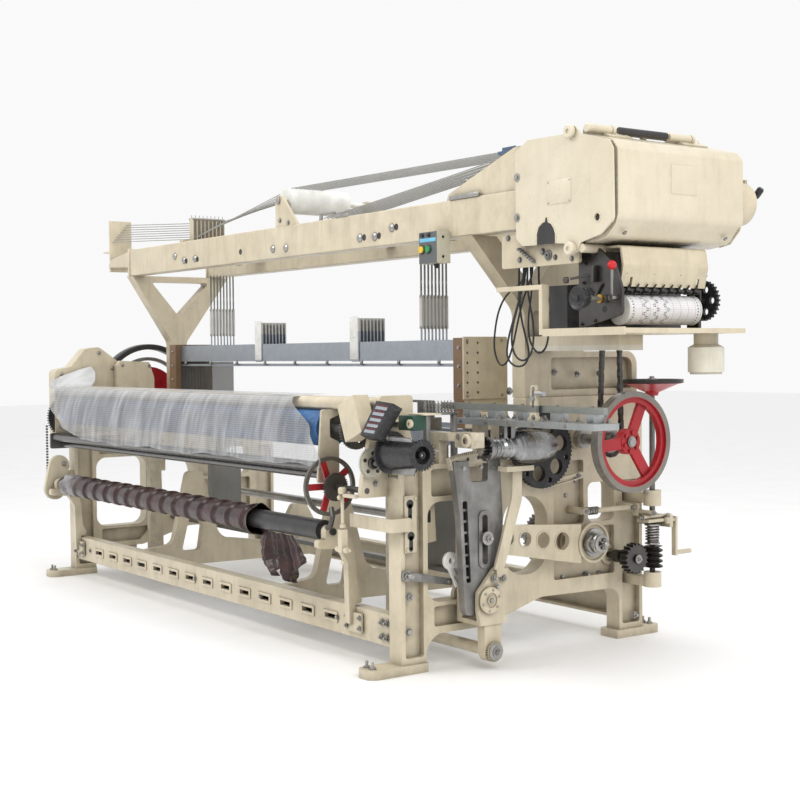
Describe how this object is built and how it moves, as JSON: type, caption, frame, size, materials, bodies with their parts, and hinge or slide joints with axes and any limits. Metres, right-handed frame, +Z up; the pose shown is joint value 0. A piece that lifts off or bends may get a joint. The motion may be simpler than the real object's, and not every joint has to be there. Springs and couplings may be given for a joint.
{
  "type": "power loom",
  "caption": "Rapier power loom with cast side frames, heald frames, rollers at the front and a dobby on the right.",
  "frame": {"origin": "on the floor under the middle of the machine", "axes": "+X to the right seen from the front, +Y to the back, +Z up"},
  "size_m": [4.45, 1.672, 2.071],
  "materials": {
    "cream_paint": "cream enamel, worn and soiled at the edges",
    "ivory_paint": "cream enamel, clean",
    "black_paint": "black enamel",
    "red_paint": "red enamel",
    "bare_steel": "machined steel",
    "cast_grey": "bare iron, oily",
    "aluminium": "milled",
    "polished_aluminium": "polished casting",
    "blue_cover": "blue roller covering",
    "black_plastic": "black moulding",
    "blue_plastic": "blue moulding",
    "white_plastic": "white moulding",
    "green_plastic": "green button",
    "yellow_plastic": "yellow button",
    "clear_film": "clear packing film",
    "wrap_film": "cloudy stretch film",
    "cord": "white braided cord",
    "cable": "black cable",
    "dark_steel": "dark oiled steel"
  },
  "bodies": {
    "loom_frame": {"arch_beam_front": "cream_paint", "arch_beam_rear": "cream_paint", "breast_beam": "cream_paint", "cable_loops": "cable", "control_box": "cream_paint", "dobby_chain": "dark_steel", "dobby_front_cover": "ivory_paint", "dobby_housing": "cream_paint", "dobby_lower_cover": "cream_paint", "dobby_mechanism": "dark_steel", "dobby_platform": "cream_paint", "front_brackets": "cream_paint", "front_rail": "cream_paint", "guide_rods": "dark_steel", "harness_cords": "cord", "harness_frame": "cream_paint", "heald_guides": "cream_paint", "left_beam_stand": "cream_paint", "left_side_frame": "cream_paint", "let_off_bracket": "cream_paint", "pivot_bracket": "cream_paint", "plastic_film": "clear_film", "rapier_gearbox": "polished_aluminium", "rapier_guide": "aluminium", "rear_rail": "cream_paint", "right_beam_stand": "cream_paint", "right_side_frame": "cream_paint", "wrap_tail": "wrap_film"},
    "main_drive": {"main_shaft": "bare_steel", "main_handwheel": "red_paint"},
    "cam": {"cam_shaft": "bare_steel"},
    "connecting_rod": {"connecting_rod": "cream_paint"},
    "rapier_lever": {"rapier_lever": "cast_grey"},
    "drive_pulley": {"drive_pulley": "black_plastic"},
    "sley": {"sley": "bare_steel"},
    "take_up_roller": {"take_up_roller": "blue_cover"},
    "take_up_handwheel": {"take_up_handwheel": "red_paint"},
    "cloth_roller": {"cloth_roller": "black_paint", "cloth_wrap": "wrap_film"},
    "weft_spool": {"weft_spool": "black_plastic"},
    "let_off_shaft": {"let_off_shaft": "dark_steel"},
    "worm_wheel": {"worm_wheel": "dark_steel"},
    "crank_handle": {"crank_handle": "cream_paint"},
    "dobby_main_cover": {"dobby_main_cover": "ivory_paint"},
    "card_cylinder": {"card_cylinder": "black_plastic"},
    "card_wheel": {"card_wheel": "black_plastic"},
    "hand_knob": {"hand_knob": "black_plastic"},
    "ball_lever": {"ball_lever": "red_paint"},
    "start_button": {"start_button": "green_plastic"},
    "stop_button": {"stop_button": "yellow_plastic"},
    "cord_roller": {"cord_roller": "white_plastic"},
    "dobby_sprocket": {"dobby_sprocket": "dark_steel"},
    "heald_frame_1": {"heald_frame_1": "aluminium"},
    "heald_frame_2": {"heald_frame_2": "aluminium"},
    "heald_frame_3": {"heald_frame_3": "aluminium"},
    "heald_frame_4": {"heald_frame_4": "aluminium"},
    "heald_frame_5": {"heald_frame_5": "aluminium"},
    "heald_frame_6": {"heald_frame_6": "aluminium"},
    "heald_frame_7": {"heald_frame_7": "aluminium"},
    "heald_frame_8": {"heald_frame_8": "aluminium"}
  },
  "joints": [
    {"name": "main_shaft_turn", "type": "hinge", "parent": "loom_frame", "child": "main_drive", "pos_m": [1.365, 0.299, 0.882], "axis": [1, 0, 0], "continuous": true},
    {"name": "cam_shaft_turn", "type": "hinge", "parent": "loom_frame", "child": "cam", "pos_m": [1.365, 0.293, 0.446], "axis": [1, 0, 0], "continuous": true},
    {"name": "connecting_rod_swing", "type": "hinge", "parent": "cam", "child": "connecting_rod", "pos_m": [1.425, 0.322, 0.446], "axis": [1, 0, 0], "continuous": true},
    {"name": "rapier_lever_swing", "type": "hinge", "parent": "loom_frame", "child": "rapier_lever", "pos_m": [1.365, -0.303, 0.281], "axis": [1, 0, 0], "range_deg": [0, 14]},
    {"name": "drive_pulley_turn", "type": "hinge", "parent": "loom_frame", "child": "drive_pulley", "pos_m": [1.365, 0.066, 0.845], "axis": [1, 0, 0], "continuous": true},
    {"name": "sley_swing", "type": "hinge", "parent": "loom_frame", "child": "sley", "pos_m": [1.365, -0.276, 0.074], "axis": [1, 0, 0], "range_deg": [-8, 0]},
    {"name": "take_up_roller_turn", "type": "hinge", "parent": "loom_frame", "child": "take_up_roller", "pos_m": [1.365, -0.656, 0.945], "axis": [1, 0, 0], "continuous": true},
    {"name": "take_up_handwheel_turn", "type": "hinge", "parent": "loom_frame", "child": "take_up_handwheel", "pos_m": [1.365, -0.716, 0.717], "axis": [1, 0, 0], "continuous": true},
    {"name": "cloth_roller_turn", "type": "hinge", "parent": "loom_frame", "child": "cloth_roller", "pos_m": [1.365, -0.716, 0.535], "axis": [1, 0, 0], "continuous": true},
    {"name": "weft_spool_turn", "type": "hinge", "parent": "loom_frame", "child": "weft_spool", "pos_m": [1.365, -0.664, 0.868], "axis": [1, 0, 0], "continuous": true},
    {"name": "let_off_shaft_turn", "type": "hinge", "parent": "loom_frame", "child": "let_off_shaft", "pos_m": [1.497, 0.622, 0], "axis": [0, 0, 1], "continuous": true},
    {"name": "worm_wheel_turn", "type": "hinge", "parent": "loom_frame", "child": "worm_wheel", "pos_m": [1.365, 0.5092, 0.367], "axis": [1, 0, 0], "continuous": true},
    {"name": "crank_handle_turn", "type": "hinge", "parent": "loom_frame", "child": "crank_handle", "pos_m": [1.515, -0.616, 0.518], "axis": [0, 1, 0], "continuous": true},
    {"name": "dobby_main_cover_open", "type": "hinge", "parent": "loom_frame", "child": "dobby_main_cover", "pos_m": [1.975, -0.616, 2.056], "axis": [0, -1, 0], "range_deg": [0, 70]},
    {"name": "card_cylinder_turn", "type": "hinge", "parent": "loom_frame", "child": "card_cylinder", "pos_m": [2.055, -0.616, 1.4], "axis": [0, 1, 0], "continuous": true},
    {"name": "card_wheel_turn", "type": "hinge", "parent": "loom_frame", "child": "card_wheel", "pos_m": [2.055, -0.616, 1.438], "axis": [0, 1, 0], "continuous": true},
    {"name": "hand_knob_turn", "type": "hinge", "parent": "loom_frame", "child": "hand_knob", "pos_m": [2.055, -0.616, 1.438], "axis": [0, 1, 0], "continuous": true},
    {"name": "ball_lever_tilt", "type": "hinge", "parent": "loom_frame", "child": "ball_lever", "pos_m": [2.115, -0.616, 1.44], "axis": [0, 1, 0], "range_deg": [-25, 25]},
    {"name": "start_button_press", "type": "slide", "parent": "loom_frame", "child": "start_button", "axis": [0, 1, 0], "range_m": [0, 0.004], "stiffness_N_per_m": 400, "springref_m": -0.002},
    {"name": "stop_button_press", "type": "slide", "parent": "loom_frame", "child": "stop_button", "axis": [0, 1, 0], "range_m": [0, 0.004], "stiffness_N_per_m": 400, "springref_m": -0.002},
    {"name": "cord_roller_turn", "type": "hinge", "parent": "loom_frame", "child": "cord_roller", "pos_m": [-0.15555, -0.616, 1.998], "axis": [0, 1, 0], "continuous": true},
    {"name": "dobby_sprocket_turn", "type": "hinge", "parent": "loom_frame", "child": "dobby_sprocket", "pos_m": [1.365, 0.307, 1.5], "axis": [1, 0, 0], "continuous": true},
    {"name": "heald_frame_1_lift", "type": "slide", "parent": "loom_frame", "child": "heald_frame_1", "axis": [0, 0, 1], "range_m": [-0.045, 0.045]},
    {"name": "heald_frame_2_lift", "type": "slide", "parent": "loom_frame", "child": "heald_frame_2", "axis": [0, 0, 1], "range_m": [-0.045, 0.045]},
    {"name": "heald_frame_3_lift", "type": "slide", "parent": "loom_frame", "child": "heald_frame_3", "axis": [0, 0, 1], "range_m": [-0.045, 0.045]},
    {"name": "heald_frame_4_lift", "type": "slide", "parent": "loom_frame", "child": "heald_frame_4", "axis": [0, 0, 1], "range_m": [-0.045, 0.045]},
    {"name": "heald_frame_5_lift", "type": "slide", "parent": "loom_frame", "child": "heald_frame_5", "axis": [0, 0, 1], "range_m": [-0.045, 0.045]},
    {"name": "heald_frame_6_lift", "type": "slide", "parent": "loom_frame", "child": "heald_frame_6", "axis": [0, 0, 1], "range_m": [-0.045, 0.045]},
    {"name": "heald_frame_7_lift", "type": "slide", "parent": "loom_frame", "child": "heald_frame_7", "axis": [0, 0, 1], "range_m": [-0.045, 0.045]},
    {"name": "heald_frame_8_lift", "type": "slide", "parent": "loom_frame", "child": "heald_frame_8", "axis": [0, 0, 1], "range_m": [-0.045, 0.045]}
  ],
  "couplings": [
    {"joint": "cam_shaft_turn", "follows": "main_shaft_turn", "ratio": -1},
    {"joint": "connecting_rod_swing", "follows": "main_shaft_turn", "ratio": 1},
    {"joint": "drive_pulley_turn", "follows": "main_shaft_turn", "ratio": 0.5},
    {"joint": "dobby_sprocket_turn", "follows": "main_shaft_turn", "ratio": 1.55},
    {"joint": "take_up_handwheel_turn", "follows": "take_up_roller_turn", "ratio": -5},
    {"joint": "worm_wheel_turn", "follows": "let_off_shaft_turn", "ratio": 0.05},
    {"joint": "card_wheel_turn", "follows": "card_cylinder_turn", "ratio": -1},
    {"joint": "hand_knob_turn", "follows": "card_cylinder_turn", "ratio": -1}
  ]
}
